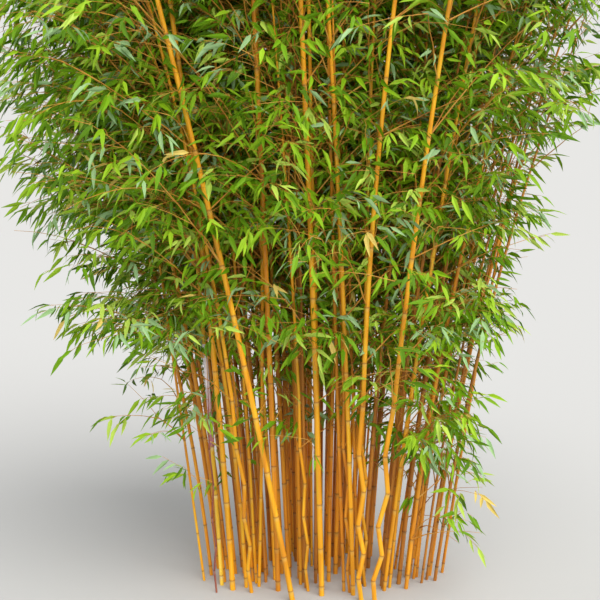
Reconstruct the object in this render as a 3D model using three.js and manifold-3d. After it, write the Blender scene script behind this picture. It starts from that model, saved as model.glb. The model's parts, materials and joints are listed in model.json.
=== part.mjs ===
// A clump of golden bamboo growing out of level ground: its canes and its masses of foliage.
// Millimetres, +Z up, +X to the viewer's right, +Y away from the viewer. The origin is the
// middle of the flat cut under the main stem, at ground level, and nothing lies below it.

import * as THREE from 'three';
import { mergeVertices } from 'three/addons/utils/BufferGeometryUtils.js';
import Module from 'manifold-3d';

const wasm = await Module();
wasm.setup();

const METRE = 1000;
const TURN = 2 * Math.PI;
const GOLDEN_ANGLE = TURN * (1 - (Math.sqrt(5) - 1) / 2);

// The ground that the clump covers, an ellipse round its own middle
const CLUMP_MIDDLE = new THREE.Vector2(-20, 150);
const CLUMP_HALF_WIDTH = 500;
const CLUMP_HALF_DEPTH = 390;

// The crown: an upright shell round the canes. Where the foliage starts it is narrower and
// stands further to the left than at its widest.
const CROWN_MIDDLE = new THREE.Vector2(-60, 130);
const CROWN_HALF_WIDTH = 1430;
const CROWN_HALF_DEPTH = 1250;
const CROWN_FOOT = 850;
const CROWN_WIDEST = 3000;
const CROWN_TOP = 4550;
const CROWN_FOOT_SHARE = 0.68;
const CROWN_FOOT_SHIFT = -150;
const CROWN_TOP_SHARE = 0.12;

// Canes. Each leans and bows away from the clump's middle as it rises: a share of its foot's
// distance from the middle for each metre of rise, and for each metre squared.
const OUTWARD_LEAN = 0.25;
const OUTWARD_BOW = 0.1;
const CANE_SIDES = 6;
const CANE_LENGTHS = 7;
const CANE_TIP_SHARE = 0.22;
const CANE_TAPER_POWER = 2.5;
const CANE_CLEARANCE = 5;
const LEVEL_TO_SQUARE = 1.2;
const CROOKED_NODES = [0, 95, 200, 320, 460, 610, 810];

// The canes that show from the front. foot is where the cane leaves the ground, lean and bow
// are its travel to the right, in mm for each metre of rise and for each metre squared, girth
// is its diameter and crook is the sideways throw of the zigzag at its lowest nodes.
const SHOWN_CANES = [
  { name: 'main_stem', foot: [0, 0], lean: -25, bow: -5, girth: 22, height: 4400 },
  { name: 'leaning_cane', foot: [-120, -50], lean: -180, bow: -12, girth: 22, height: 3900 },
  { name: 'crooked_cane', foot: [160, -55], lean: -25, bow: 28, girth: 19, height: 4200, crook: 11 },
  { name: 'right_cane', foot: [212, -75], lean: 68, bow: 14, girth: 19, height: 4000, crook: 13 },
  { name: 'right_slim_cane', foot: [262, 50], lean: 112, bow: 12, girth: 16, height: 3800 },
  { name: 'right_bowed_cane', foot: [415, 200], lean: 70, bow: 75, girth: 16, height: 3000 },
  { name: 'right_outer_cane', foot: [535, 250], lean: 140, bow: 20, girth: 13, height: 2900 },
  { name: 'left_outer_cane', foot: [-475, 220], lean: -105, bow: -60, girth: 15, height: 3100 },
  { name: 'left_whip', foot: [-500, 160], lean: -130, bow: 0, girth: 11, height: 2300 },
  { name: 'left_bowed_cane', foot: [-315, 85], lean: -50, bow: -52, girth: 16, height: 3700 },
  { name: 'left_thick_cane', foot: [-370, 60], lean: -55, bow: -16, girth: 23, height: 4000 },
  { name: 'left_young_cane', foot: [-420, 110], lean: -55, bow: -8, girth: 17, height: 3500 },
  { name: 'left_crooked_cane', foot: [-290, 30], lean: -55, bow: -44, girth: 16, height: 3300, crook: 8 },
  { name: 'left_slim_cane', foot: [-275, 130], lean: -46, bow: -12, girth: 13, height: 3600 },
  { name: 'inner_slim_cane', foot: [-262, 95], lean: 30, bow: -12, girth: 14, height: 3500 },
  { name: 'inner_brown_cane', foot: [-180, 50], lean: -30, bow: -3, girth: 22, height: 4200 },
  { name: 'inner_left_cane', foot: [-135, 200], lean: -55, bow: 0, girth: 19, height: 4100 },
  { name: 'inner_short_cane', foot: [-55, 45], lean: -40, bow: -8, girth: 13, height: 3100, crook: 7 },
  { name: 'inner_twin_cane', foot: [5, 62], lean: -30, bow: 2, girth: 18, height: 4000 },
  { name: 'middle_slim_cane', foot: [94, 45], lean: -40, bow: 3, girth: 14, height: 4300 },
  { name: 'middle_right_cane', foot: [130, 5], lean: -30, bow: -8, girth: 18, height: 3800 },
  { name: 'inner_crooked_cane', foot: [185, 95], lean: -20, bow: 12, girth: 14, height: 3600, crook: 9 },
  { name: 'rear_right_cane', foot: [290, 215], lean: 80, bow: 10, girth: 17, height: 3900 },
  { name: 'rear_left_cane', foot: [-290, 300], lean: -40, bow: -20, girth: 21, height: 4100 },
];

// The canes behind them, set out by the golden angle wherever there is room
const REAR_CANES = 11;
const REAR_PLACES = 44;
const REAR_GIRTHS = [18, 15, 20, 13, 17];
const REAR_HEIGHTS = [4100, 3600, 4300, 3300, 3900];
const REAR_SPACING = 45;

// Foliage: six sectors round the crown, each with four tiers. A mass keeps between the upright
// walls of its sector and two slanting levels, and grows from one stem on one cane.
const SECTORS = 6;
const TIER_NAMES = ['low', 'middle', 'upper', 'top'];
const ABOVE_ALL = CROWN_TOP + 60;
const LEVELS_EVEN = [1020, 1850, 2650, 3420, ABOVE_ALL];
const LEVELS_ODD = [870, 1600, 2400, 3200, ABOVE_ALL];
const LEVEL_SLOPE = 0.12;
const SPACE_GAP = 4;
const FIRST_SEED = 1029;
const SEED_STEP_ROUND = 97;
const SEED_STEP_UP = 13;

// The stem: where it may leave a cane and how far it may turn from the sector's middle line,
// as shares of the space's height and as radians, and the bend on its way to the crown's edge
const STEM_STARTS = [0.1, 0.18, 0.26, 0.34, 0.42, 0.5];
const STEM_TURNS = [0, 0.12, -0.12, 0.24, -0.24, 0.36, -0.36];
const STEM_BELOW_TIP = 150;
const STEM_RISE = 0.45;
const STEM_REACH = 0.8;
const STEM_BEND_PLACE = 0.45;
const STEM_BEND_RISE = 0.12;
const STEM_LENGTHS = 4;
const STEM_LONG_ENOUGH = 700;
const STEM_TURN_COST = 0.3;
const STEM_START_COST = 0.2;
const STEM_RADIUS = 9;
const STEM_TIP_RADIUS = 7;
const STEM_GAP = 0.3;

// Side twigs: to either hand in turn, each with its own lift, and shortened until it is clear
const TWIG_SIDES = 3;
const TWIG_RADIUS = 3.6;
const TWIG_TIP_RADIUS = 3.4;
const TWIG_FIRST_PLACE = 0.25;
const TWIG_FORWARD = [0.3, 0.7];
const TWIG_LIFTS = [0.9, -0.7, -0.2, 1.1, -1, 0.4];
const TWIG_LENGTH = 620;
const TWIG_SHORTEST = 130;
const TWIG_SHORTENING = 0.85;

// Leaves, each the size of a small spray
const LEAVES_MOST = 23;
const LEAF_LENGTH = 400;
const LEAF_WIDTH = 92;
const LEAF_THICKNESS = 8;
const LEAF_WIDEST = 0.32;
const LEAF_SUNK = 0.8;
const LEAF_SPACING = 130;
const LEAF_LAST_PLACE = 0.85;
const LEAF_END_GAP = 0.015;
const LEAF_SPREAD = [0.5, 1.1];
const LEAF_DROOPS = [-1, 0.35, -0.5, -1.3, 0.1, -0.8];
const LEAF_DROOP_VARIES = [0.7, 1.3];
const LEAF_ROLL = [-1.2, 1.2];
const LEAF_SIZE = [0.85, 1.15];
const LEAF_GAP = 45;
const LEAF_LIMB_GAP = 22;
const LEAF_RIB_START = 0.15;
const LEAF_TRIALS = 12;
const TRIALS_TO_A_HAND = 2;

const CHECK_STEP = 20;
const CHECKS_ALONG_LINE = 6;
const SAME_CORNER_WITHIN = 1e-4;
const RANDOM_FACTOR = 48271;
const RANDOM_LIMIT = 2147483647;
const UP = new THREE.Vector3(0, 0, 1);

// Numbers between 0 and 1 by a fixed rule, the same on every run.
function numbersFrom(seed) {
  let state = seed;
  return () => {
    state = (state * RANDOM_FACTOR) % RANDOM_LIMIT;
    return state / RANDOM_LIMIT;
  };
}

function between([low, high], random) {
  return low + (high - low) * random();
}

// How far the crown has swelled at a height, from 0 where it starts to 1 at its widest.
function crownSwell(z) {
  const rise = (z - CROWN_FOOT) / (CROWN_WIDEST - CROWN_FOOT);
  return Math.sin(Math.min(1, Math.max(0, rise)) * Math.PI / 2);
}

// The crown's reach at a height, as a share of its half width and half depth.
function crownShare(z) {
  if (z < CROWN_WIDEST) return CROWN_FOOT_SHARE + (1 - CROWN_FOOT_SHARE) * crownSwell(z);
  const share = Math.min(1, (z - CROWN_WIDEST) / (CROWN_TOP - CROWN_WIDEST));
  return CROWN_TOP_SHARE + (1 - CROWN_TOP_SHARE) * Math.sqrt(1 - share * share);
}

// Where the crown's middle is at a height, to the right of the origin.
function crownMiddleX(z) {
  return CROWN_MIDDLE.x + CROWN_FOOT_SHIFT * (1 - crownSwell(z));
}

function insideCrown(point) {
  const across = (point.x - crownMiddleX(point.z)) / CROWN_HALF_WIDTH;
  const along = (point.y - CROWN_MIDDLE.y) / CROWN_HALF_DEPTH;
  return point.z < CROWN_TOP && Math.hypot(across, along) < crownShare(point.z);
}

// The zigzag of a crooked cane: it throws to one side and the other at its lowest nodes, and
// runs straight between them.
function crookAt(cane, z) {
  const next = CROOKED_NODES.findIndex((node) => node > z);
  if (!cane.crook || next < 1) return 0;
  const throwAt = (i) => (i > 0 && i < CROOKED_NODES.length - 1 ? cane.crook * (-1) ** i : 0);
  const share = (z - CROOKED_NODES[next - 1]) / (CROOKED_NODES[next] - CROOKED_NODES[next - 1]);
  return throwAt(next - 1) + (throwAt(next) - throwAt(next - 1)) * share;
}

// The middle of a cane at a height above the ground.
function caneMiddle(cane, z) {
  const rise = z / METRE;
  const outward = cane.foot[1] - CLUMP_MIDDLE.y;
  return new THREE.Vector3(
    cane.foot[0] + cane.lean * rise + cane.bow * rise ** 2 + crookAt(cane, z),
    cane.foot[1] + OUTWARD_LEAN * outward * rise + OUTWARD_BOW * outward * rise ** 2,
    z,
  );
}

function caneRadius(cane, z) {
  const share = Math.min(1, z / cane.height);
  return cane.girth / 2 * (1 - (1 - CANE_TIP_SHARE) * share ** CANE_TAPER_POWER);
}

// How far a point is from the nearest cane's skin, level with the point. A leaning cane is
// nearer, square to it, than it is level with the point, so its radius counts for more.
function caneGap(point, canes) {
  let least = Infinity;
  for (const cane of canes) {
    if (point.z > cane.height + CANE_CLEARANCE) continue;
    const middle = caneMiddle(cane, point.z);
    const gap = Math.hypot(point.x - middle.x, point.y - middle.y);
    least = Math.min(least, gap - LEVEL_TO_SQUARE * caneRadius(cane, point.z));
  }
  return least;
}

// The rear canes: the next place on the spiral is taken where nothing stands or passes near.
function rearCanes() {
  const placed = [];
  for (let i = 0; placed.length < REAR_CANES; i++) {
    const spread = Math.sqrt((i % REAR_PLACES + 0.5) / REAR_PLACES);
    const x = CLUMP_MIDDLE.x + CLUMP_HALF_WIDTH * spread * Math.cos(i * GOLDEN_ANGLE);
    const y = CLUMP_MIDDLE.y + CLUMP_HALF_DEPTH * spread * Math.abs(Math.sin(i * GOLDEN_ANGLE));
    const cane = {
      name: `rear_cane_${placed.length + 1}`,
      foot: [x, y],
      lean: OUTWARD_LEAN * (x - CLUMP_MIDDLE.x),
      bow: OUTWARD_BOW * (x - CLUMP_MIDDLE.x),
      girth: REAR_GIRTHS[placed.length % REAR_GIRTHS.length],
      height: REAR_HEIGHTS[placed.length % REAR_HEIGHTS.length],
    };
    const others = [...SHOWN_CANES, ...placed];
    let clear = caneGap(caneMiddle(cane, 0), others) > REAR_SPACING;
    for (let z = 0; clear && z <= cane.height; z += CHECK_STEP) {
      clear = caneGap(caneMiddle(cane, z), others) > caneRadius(cane, z) + CANE_CLEARANCE;
    }
    if (clear) placed.push(cane);
  }
  return placed;
}

// A closed solid of a three.js shape, for joining and cutting.
function solidOf(geometry) {
  geometry.deleteAttribute('normal');
  geometry.deleteAttribute('uv');
  const merged = mergeVertices(geometry, SAME_CORNER_WITHIN);
  return new wasm.Manifold(new wasm.Mesh({
    numProp: 3,
    vertProperties: merged.attributes.position.array,
    triVerts: new Uint32Array(merged.index.array),
  }));
}

function geometryOf(solid) {
  const { vertProperties, triVerts } = solid.getMesh();
  const geometry = new THREE.BufferGeometry();
  geometry.setAttribute('position', new THREE.BufferAttribute(vertProperties, 3));
  geometry.setIndex(new THREE.BufferAttribute(triVerts, 1));
  return geometry;
}

// A tapering limb: a cylinder whose rings are set along a course, each square to it. The first
// ring of a limb that stands on the ground lies flat.
function limb(points, radii, sides, onGround = false) {
  const last = points.length - 1;
  const shape = new THREE.CylinderGeometry(1, 1, 1, sides, last);
  const corner = shape.attributes.position;
  const start = points[1].clone().sub(points[0]);
  const reference = onGround ? new THREE.Vector3(1, 0, 0) : new THREE.Vector3(start.y, -start.x, 0);
  for (let i = 0; i < corner.count; i++) {
    const ring = Math.round((corner.getY(i) + 0.5) * last);
    const along = onGround && ring === 0
      ? UP.clone()
      : points[Math.min(ring + 1, last)].clone().sub(points[Math.max(ring - 1, 0)]).normalize();
    const across = reference.clone().addScaledVector(along, -reference.dot(along)).normalize();
    const outward = across.clone().cross(along);
    const place = points[ring].clone()
      .addScaledVector(across, radii[ring] * corner.getX(i))
      .addScaledVector(outward, radii[ring] * corner.getZ(i));
    corner.setXYZ(i, place.x, place.y, place.z);
  }
  return shape;
}

// A cane, or the sleeve of a given thickness round it.
function caneShape(cane, sleeve = 0) {
  const heights = cane.crook ? [...CROOKED_NODES] : [0];
  const start = heights.at(-1);
  for (let i = 1; i <= CANE_LENGTHS; i++) {
    heights.push(start + (cane.height - start) * i / CANE_LENGTHS);
  }
  const points = heights.map((z) => caneMiddle(cane, z));
  const radii = heights.map((z) => caneRadius(cane, z) + sleeve / Math.cos(Math.PI / CANE_SIDES));
  return limb(points, radii, CANE_SIDES, true);
}

// The leaf that every other is copied from: a thin blade of eight faces from its root at the
// origin to its tip on +X, widest nearer the root, its blade across Y.
function leafShape() {
  const leaf = new THREE.OctahedronGeometry(1);
  const corner = leaf.attributes.position;
  for (let i = 0; i < corner.count; i++) {
    const end = corner.getX(i);
    const along = end > 0.5 ? 1 : end < -0.5 ? 0 : LEAF_WIDEST;
    corner.setX(i, along * LEAF_LENGTH);
    corner.setY(i, corner.getY(i) * LEAF_WIDTH / 2);
    corner.setZ(i, corner.getZ(i) * LEAF_THICKNESS / 2);
  }
  return leaf;
}

// The space of one mass, with its two upright walls and its two slanting levels.
function foliageSpace(sector, tier) {
  const levels = sector % 2 ? LEVELS_ODD : LEVELS_EVEN;
  const heading = TURN * (sector + 0.5) / SECTORS - TURN / 4;
  const middle = new THREE.Vector3(Math.cos(heading), Math.sin(heading), 0);
  const walls = [-1, 1].map((side) => {
    const wall = heading + side * TURN / SECTORS / 2;
    return new THREE.Vector3(side * Math.sin(wall), -side * Math.cos(wall), 0);
  });
  const out = (point) => (point.x - CROWN_MIDDLE.x) * middle.x + (point.y - CROWN_MIDDLE.y) * middle.y;
  const slope = sector % 2 ? LEVEL_SLOPE : -LEVEL_SLOPE;
  return {
    name: `foliage_${TIER_NAMES[tier]}_${sector + 1}`,
    seed: FIRST_SEED + SEED_STEP_ROUND * sector + SEED_STEP_UP * tier,
    middle,
    low: levels[tier],
    high: levels[tier + 1],
    inside(point) {
      const level = point.z - slope * out(point);
      const from = point.clone().sub(new THREE.Vector3(CROWN_MIDDLE.x, CROWN_MIDDLE.y, 0));
      return insideCrown(point)
        && level > levels[tier] + SPACE_GAP
        && level < levels[tier + 1] - SPACE_GAP
        && walls.every((wall) => wall.dot(from) > SPACE_GAP);
    },
  };
}

// Whether a straight limb of a given half width keeps to its space and clear of the canes.
function keepsClear(space, from, to, halfWidth, canes) {
  const steps = Math.ceil(from.distanceTo(to) / CHECK_STEP);
  for (let i = 0; i <= steps; i++) {
    const share = i / steps;
    const point = from.clone().lerp(to, share);
    if (!space.inside(point)) return false;
    if (caneGap(point, canes) < halfWidth(share) + CANE_CLEARANCE) return false;
  }
  return true;
}

// The least distance between two straight lines, found at a few points along each.
function lineGap(one, other) {
  const onOne = new THREE.Vector3();
  const onOther = new THREE.Vector3();
  let least = Infinity;
  for (let i = 0; i <= CHECKS_ALONG_LINE; i++) {
    one.at(i / CHECKS_ALONG_LINE, onOne);
    other.closestPointToPoint(onOne, true, onOther);
    one.closestPointToPoint(onOther, true, onOne);
    least = Math.min(least, onOne.distanceTo(onOther));
  }
  return least;
}

// The stem of a mass: from a cane inside its space, up and out to near the crown's edge. Of the
// courses that are clear, the longest, straightest and lowest is taken.
function stemOf(space, canes) {
  const height = space.high - space.low;
  let best = null;
  for (const cane of canes) {
    const others = canes.filter((other) => other !== cane);
    for (const start of STEM_STARTS) {
      const root = caneMiddle(cane, space.low + start * height);
      if (root.z > cane.height - STEM_BELOW_TIP || !space.inside(root)) continue;
      for (const turned of STEM_TURNS) {
        const heading = space.middle.clone().applyAxisAngle(UP, turned);
        const tipHeight = root.z + STEM_RISE * height;
        const reach = STEM_REACH * crownShare(tipHeight);
        const tip = new THREE.Vector3(
          crownMiddleX(tipHeight) + heading.x * CROWN_HALF_WIDTH * reach,
          CROWN_MIDDLE.y + heading.y * CROWN_HALF_DEPTH * reach,
          tipHeight,
        );
        const length = root.distanceTo(tip);
        const bend = root.clone().lerp(tip, STEM_BEND_PLACE).addScaledVector(UP, STEM_BEND_RISE * length);
        const points = new THREE.QuadraticBezierCurve3(root, bend, tip).getPoints(STEM_LENGTHS);
        const clear = points.slice(1).every((end, i) =>
          keepsClear(space, points[i], end, () => STEM_RADIUS, others));
        const merit = Math.min(length, STEM_LONG_ENOUGH) - STEM_TURN_COST * Math.abs(turned) * length
          - STEM_START_COST * (root.z - space.low);
        if (clear && (!best || merit > best.merit)) best = { cane, points, merit };
      }
    }
  }
  if (!best) throw new Error(`${space.name} finds no cane to grow from`);
  return best;
}

// The side twigs of a stem, as many as stay clear.
function twigsOf(stem, space, canes, random) {
  const others = canes.filter((cane) => cane !== stem.cane);
  const width = () => TWIG_RADIUS;
  const twigs = [];
  TWIG_LIFTS.forEach((lift, i) => {
    const place = TWIG_FIRST_PLACE + (1 - TWIG_FIRST_PLACE) * (i + 0.5) / TWIG_LIFTS.length;
    const piece = Math.floor(place * STEM_LENGTHS);
    const [from, to] = stem.points.slice(piece, piece + 2);
    const root = from.clone().lerp(to, place * STEM_LENGTHS - piece);
    const forward = to.clone().sub(from).normalize();
    const heading = new THREE.Vector3(-forward.y, forward.x, 0).normalize()
      .multiplyScalar(i % 2 ? 1 : -1)
      .addScaledVector(forward, between(TWIG_FORWARD, random))
      .addScaledVector(UP, lift)
      .normalize();
    for (let length = TWIG_LENGTH; length > TWIG_SHORTEST; length *= TWIG_SHORTENING) {
      const tip = root.clone().addScaledVector(heading, length);
      const beyond = root.clone().lerp(tip, TWIG_FIRST_PLACE);
      if (keepsClear(space, root, tip, width, others) && keepsClear(space, beyond, tip, width, canes)) {
        twigs.push([root, tip]);
        return;
      }
    }
  });
  return twigs;
}

// The leaves along one limb, from its tip back: a leaf goes straight on from the tip, and the
// others to either hand in turn. Each is tried at a few slants, and left out where none is clear
// of the canes, of the limbs and of the leaves before it.
function leavesOn(from, tip, space, canes, wood, ribs, random) {
  const forward = tip.clone().sub(from).normalize();
  const across = new THREE.Vector3(-forward.y, forward.x, 0).normalize();
  const count = Math.floor(from.distanceTo(tip) / LEAF_SPACING);
  const halfWidth = (share) =>
    LEAF_WIDTH / 2 * Math.min(share / LEAF_WIDEST, (1 - share) / (1 - LEAF_WIDEST));
  const leaves = [];
  for (let i = 0; i <= count && ribs.length < LEAVES_MOST; i++) {
    const root = tip.clone().lerp(from, LEAF_END_GAP + LEAF_LAST_PLACE * i / (count + 1));
    const side = i === 0 ? 0 : (-1) ** (i + 1);
    for (let trial = 0; trial < LEAF_TRIALS; trial++) {
      const hand = Math.floor(trial / TRIALS_TO_A_HAND) % 2 ? -side : side;
      const droop = LEAF_DROOPS[(trial + i) % LEAF_DROOPS.length];
      const heading = forward.clone()
        .addScaledVector(across, hand * between(LEAF_SPREAD, random))
        .addScaledVector(UP, droop * between(LEAF_DROOP_VARIES, random))
        .normalize();
      const blade = new THREE.Vector3(-heading.y, heading.x, 0).normalize()
        .applyAxisAngle(heading, between(LEAF_ROLL, random));
      const size = between(LEAF_SIZE, random);
      const end = root.clone().addScaledVector(heading, LEAF_LENGTH * size);
      const edges = [-1, 1].map((edge) => root.clone()
        .addScaledVector(heading, LEAF_LENGTH * LEAF_WIDEST * size)
        .addScaledVector(blade, edge * LEAF_WIDTH / 2 * size));
      const rib = new THREE.Line3(root.clone().lerp(end, LEAF_RIB_START), end);
      if (edges.every((edge) => space.inside(edge))
        && keepsClear(space, root, end, halfWidth, canes)
        && ribs.every((other) => lineGap(rib, other) > LEAF_GAP)
        && wood.every((other) => lineGap(rib, other) > LEAF_LIMB_GAP)) {
        ribs.push(rib);
        const sunk = root.clone().addScaledVector(heading, -LEAF_SUNK);
        leaves.push(leafShape()
          .scale(size, size, size)
          .applyMatrix4(new THREE.Matrix4().makeBasis(heading, blade, heading.clone().cross(blade)))
          .translate(sunk.x, sunk.y, sunk.z));
        break;
      }
    }
  }
  return leaves;
}

// One mass of foliage, fused: its stem, its side twigs and their leaves. The stem is cut off
// just clear of its cane, and a scrap that the cut leaves is dropped.
function foliage(space, canes) {
  const random = numbersFrom(space.seed);
  const stem = stemOf(space, canes);
  const twigs = twigsOf(stem, space, canes, random);
  const stemRadii = stem.points.map((_, i) =>
    STEM_RADIUS + (STEM_TIP_RADIUS - STEM_RADIUS) * i / STEM_LENGTHS);
  const shapes = [
    limb(stem.points, stemRadii, TWIG_SIDES),
    ...twigs.map((twig) => limb(twig, [TWIG_RADIUS, TWIG_TIP_RADIUS], TWIG_SIDES)),
  ];
  const wood = [stem.points, ...twigs].flatMap((points) =>
    points.slice(1).map((end, i) => new THREE.Line3(points[i], end)));
  const ribs = [];
  for (const [from, tip] of [stem.points.slice(-2), ...twigs]) {
    shapes.push(...leavesOn(from, tip, space, canes, wood, ribs, random));
  }
  const fused = shapes.map(solidOf).reduce((joined, solid) => joined.add(solid));
  const sleeve = solidOf(caneShape(stem.cane, STEM_GAP));
  const [whole] = fused.subtract(sleeve).decompose().sort((a, b) => b.volume() - a.volume());
  return geometryOf(whole);
}

const caneFinish = new THREE.MeshStandardMaterial({ color: 0xe59a1c, roughness: 0.42, metalness: 0 });
const foliageFinish = new THREE.MeshStandardMaterial({ color: 0x5f9a24, roughness: 0.6, metalness: 0 });

const bamboo = new THREE.Group();
const canes = [...SHOWN_CANES, ...rearCanes()];
for (const cane of canes) {
  const mesh = new THREE.Mesh(caneShape(cane), caneFinish);
  mesh.name = cane.name;
  bamboo.add(mesh);
}
for (let sector = 0; sector < SECTORS; sector++) {
  for (let tier = 0; tier < TIER_NAMES.length; tier++) {
    const space = foliageSpace(sector, tier);
    const mesh = new THREE.Mesh(foliage(space, canes), foliageFinish);
    mesh.name = space.name;
    bamboo.add(mesh);
  }
}

export default bamboo;
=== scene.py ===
import json
import math
from dataclasses import dataclass

import bpy
import numpy as np
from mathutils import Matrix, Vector

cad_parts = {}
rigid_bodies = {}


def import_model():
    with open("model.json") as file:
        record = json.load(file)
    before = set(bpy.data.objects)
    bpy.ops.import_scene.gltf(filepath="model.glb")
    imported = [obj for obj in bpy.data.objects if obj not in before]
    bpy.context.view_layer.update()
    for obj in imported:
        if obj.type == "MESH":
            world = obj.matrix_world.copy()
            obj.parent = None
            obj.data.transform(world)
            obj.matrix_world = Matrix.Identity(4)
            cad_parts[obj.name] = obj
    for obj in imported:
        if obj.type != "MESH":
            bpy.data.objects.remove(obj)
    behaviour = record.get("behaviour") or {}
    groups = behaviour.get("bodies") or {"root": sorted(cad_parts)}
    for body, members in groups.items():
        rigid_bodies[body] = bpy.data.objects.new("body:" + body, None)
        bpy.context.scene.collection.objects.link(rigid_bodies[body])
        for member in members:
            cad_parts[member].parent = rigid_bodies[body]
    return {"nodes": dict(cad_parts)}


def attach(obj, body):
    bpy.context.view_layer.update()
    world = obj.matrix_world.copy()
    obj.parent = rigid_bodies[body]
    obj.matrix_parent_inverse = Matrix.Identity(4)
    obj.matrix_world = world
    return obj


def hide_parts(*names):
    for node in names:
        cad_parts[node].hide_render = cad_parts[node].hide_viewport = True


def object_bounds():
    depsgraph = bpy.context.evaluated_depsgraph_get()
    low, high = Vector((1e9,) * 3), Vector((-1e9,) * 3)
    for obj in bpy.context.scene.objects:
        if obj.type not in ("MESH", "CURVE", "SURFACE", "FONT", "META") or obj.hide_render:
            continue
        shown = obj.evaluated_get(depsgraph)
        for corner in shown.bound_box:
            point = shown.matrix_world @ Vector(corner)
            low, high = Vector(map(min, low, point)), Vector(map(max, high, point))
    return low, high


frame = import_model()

cad_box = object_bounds()

# Camera: it stands in front of the clump at about eye height and looks a little down on it. The
# main stem's foot is at the bottom edge of the picture, and the crown runs out of it at the top.
PICTURE_SIZE = 600
FOCAL_LENGTH_IN_PIXELS = 900
SENSOR_WIDTH = 36
CAMERA_PLACE = (-0.089, -3.6, 1.5)
CAMERA_LOOKS_DOWN = math.radians(4.45)

lens = bpy.data.cameras.new("camera")
lens.sensor_width = SENSOR_WIDTH
lens.lens = SENSOR_WIDTH * FOCAL_LENGTH_IN_PIXELS / PICTURE_SIZE
camera = bpy.data.objects.new("camera", lens)
camera.location = CAMERA_PLACE
camera.rotation_euler = (math.pi / 2 - CAMERA_LOOKS_DOWN, 0, 0)
bpy.context.scene.collection.objects.link(camera)
bpy.context.scene.camera = camera

# Canes: woody hollow stems with a glossy golden skin, ringed by a node every hand's width or two.
# They rise from the ground side by side, lean and bow outward, and some zigzag at the lowest
# nodes. Each follows the course of its own solid, and a fine skin replaces that solid.
TURN = 2 * math.pi
GOLDEN_ANGLE = TURN * (1 - (math.sqrt(5) - 1) / 2)
CLUMP_MIDDLE = (-0.02, 0.15)
CLUMP_HALF_WIDTH = 0.5
CLUMP_HALF_DEPTH = 0.39
OUTWARD_LEAN = 0.25
OUTWARD_BOW = 0.1
CANE_TIP_SHARE = 0.22
CANE_TAPER_POWER = 2.5
CANE_CLEARANCE = 0.005
LEVEL_TO_SQUARE = 1.2
CROOKED_NODES = [0, 0.095, 0.2, 0.32, 0.46, 0.61, 0.81]
CHECK_STEP = 0.02


@dataclass
class Cane:
    """foot is where it leaves the ground. lean and bow are its travel to the right for each metre
    of rise and for each metre squared, girth is its diameter, and crook is its zigzag's throw."""

    name: str
    foot: tuple
    lean: float
    bow: float
    girth: float
    height: float
    finish: str = "golden"
    crook: float = 0.0

    def crook_at(self, z):
        if not self.crook or z >= CROOKED_NODES[-1]:
            return 0.0
        throws = [self.crook * (-1) ** i for i in range(len(CROOKED_NODES))]
        throws[0] = throws[-1] = 0.0
        return float(np.interp(z, CROOKED_NODES, throws))

    def middle(self, z):
        outward = self.foot[1] - CLUMP_MIDDLE[1]
        return Vector((
            self.foot[0] + self.lean * z + self.bow * z ** 2 + self.crook_at(z),
            self.foot[1] + OUTWARD_LEAN * outward * z + OUTWARD_BOW * outward * z ** 2,
            z,
        ))

    def radius(self, z):
        share = min(1.0, z / self.height)
        return self.girth / 2 * (1 - (1 - CANE_TIP_SHARE) * share ** CANE_TAPER_POWER)


SHOWN_CANES = [
    Cane("main_stem", (0, 0), -0.025, -0.005, 0.022, 4.4),
    Cane("leaning_cane", (-0.12, -0.05), -0.18, -0.012, 0.022, 3.9),
    Cane("crooked_cane", (0.16, -0.055), -0.025, 0.028, 0.019, 4.2, crook=0.011),
    Cane("right_cane", (0.212, -0.075), 0.068, 0.014, 0.019, 4.0, crook=0.013),
    Cane("right_slim_cane", (0.262, 0.05), 0.112, 0.012, 0.016, 3.8),
    Cane("right_bowed_cane", (0.415, 0.2), 0.07, 0.075, 0.016, 3.0, "amber"),
    Cane("right_outer_cane", (0.535, 0.25), 0.14, 0.02, 0.013, 2.9, "amber"),
    Cane("left_outer_cane", (-0.475, 0.22), -0.105, -0.06, 0.015, 3.1, "amber"),
    Cane("left_whip", (-0.5, 0.16), -0.13, 0, 0.011, 2.3),
    Cane("left_bowed_cane", (-0.315, 0.085), -0.05, -0.052, 0.016, 3.7),
    Cane("left_thick_cane", (-0.37, 0.06), -0.055, -0.016, 0.023, 4.0),
    Cane("left_young_cane", (-0.42, 0.11), -0.055, -0.008, 0.017, 3.5, "young"),
    Cane("left_crooked_cane", (-0.29, 0.03), -0.055, -0.044, 0.016, 3.3, crook=0.008),
    Cane("left_slim_cane", (-0.275, 0.13), -0.046, -0.012, 0.013, 3.6),
    Cane("inner_slim_cane", (-0.262, 0.095), 0.03, -0.012, 0.014, 3.5),
    Cane("inner_brown_cane", (-0.18, 0.05), -0.03, -0.003, 0.022, 4.2, "amber"),
    Cane("inner_left_cane", (-0.135, 0.2), -0.055, 0, 0.019, 4.1, "amber"),
    Cane("inner_short_cane", (-0.055, 0.045), -0.04, -0.008, 0.013, 3.1, crook=0.007),
    Cane("inner_twin_cane", (0.005, 0.062), -0.03, 0.002, 0.018, 4.0),
    Cane("middle_slim_cane", (0.094, 0.045), -0.04, 0.003, 0.014, 4.3, "amber"),
    Cane("middle_right_cane", (0.13, 0.005), -0.03, -0.008, 0.018, 3.8),
    Cane("inner_crooked_cane", (0.185, 0.095), -0.02, 0.012, 0.014, 3.6, "golden", 0.009),
    Cane("rear_right_cane", (0.29, 0.215), 0.08, 0.01, 0.017, 3.9, "amber"),
    Cane("rear_left_cane", (-0.29, 0.3), -0.04, -0.02, 0.021, 4.1, "amber"),
]
REAR_CANES = 11
REAR_PLACES = 44
REAR_GIRTHS = [0.018, 0.015, 0.02, 0.013, 0.017]
REAR_HEIGHTS = [4.1, 3.6, 4.3, 3.3, 3.9]
# Rear canes take the amber finish, whose darker tone is partly painted shade, or the brown of old
# weathered skin.
REAR_FINISHES = ["amber", "brown", "amber"]
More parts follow.
